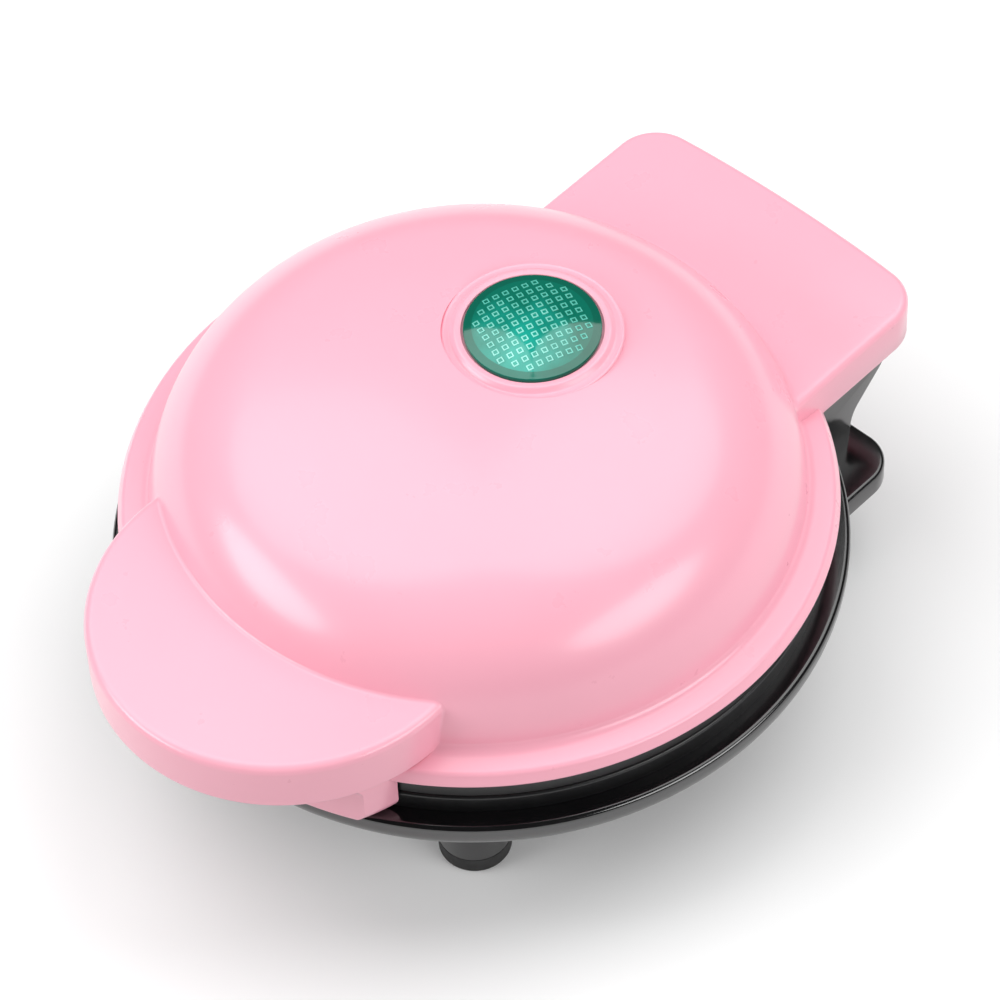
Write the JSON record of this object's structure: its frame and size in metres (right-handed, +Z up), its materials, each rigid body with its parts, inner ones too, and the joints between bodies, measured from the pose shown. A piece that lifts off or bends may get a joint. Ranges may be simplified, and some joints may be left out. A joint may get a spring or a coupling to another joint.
{
  "type": "mini donut maker",
  "caption": "Small round countertop donut maker: a domed lid with a front handle and lamp, hinged at the rear over a bowl base with moulded plates.",
  "frame": {"origin": "centre of the whole object's footprint, on the table", "axes": "+Z up, +X to the right, the handle points to -Y and the hinge is at +Y"},
  "size_m": [0.1284, 0.1618, 0.0709],
  "materials": {
    "pink_plastic": "glossy moulded plastic",
    "black_plastic": "glossy moulded plastic",
    "soft_black": "matt",
    "nonstick": "dark non-stick coating over cast metal",
    "element_steel": "dull tube",
    "sheet_steel": "zinc-plated sheet",
    "shield_aluminium": "bright sheet",
    "thermostat_body": "unglazed ceramic",
    "fuse_sleeve": "woven sleeve",
    "pin_steel": "ground steel",
    "screw_steel": "zinc-plated",
    "spring_steel": "spring steel",
    "green_lens": "clear green moulded lens",
    "white_plastic": "matt",
    "lamp_glass": "clear",
    "foot_rubber": "matt"
  },
  "bodies": {
    "base": {"base_shell": "black_plastic", "base_frame": "black_plastic", "lower_plate": "nonstick", "lower_element": "element_steel", "lower_element_clamp": "sheet_steel", "lower_clamp_screw": "screw_steel", "lower_heat_shield": "shield_aluminium", "thermostat": "thermostat_body", "thermal_fuse": "fuse_sleeve", "front_foot_left": "foot_rubber", "front_foot_right": "foot_rubber", "rear_foot_left": "foot_rubber", "rear_foot_right": "foot_rubber", "base_screws": "screw_steel", "lower_plate_screws": "screw_steel", "hinge_pin_left": "pin_steel", "hinge_pin_right": "pin_steel", "inlet_bush": "soft_black"},
    "lid": {"lid_shell": "pink_plastic", "lid_frame": "black_plastic", "upper_plate": "nonstick", "upper_element": "element_steel", "upper_element_clamp": "sheet_steel", "upper_clamp_screw": "screw_steel", "upper_heat_shield": "shield_aluminium", "upper_plate_screws": "screw_steel", "lid_frame_screws": "screw_steel", "lamp_lens": "green_lens", "lamp_holder": "white_plastic", "lamp": "lamp_glass", "lens_clip": "spring_steel"}
  },
  "joints": [
    {"name": "lid_hinge", "type": "hinge", "parent": "base", "child": "lid", "pos_m": [0, 0.0679, 0.0355], "axis": [-1, 0, 0], "range_deg": [0, 95]}
  ]
}
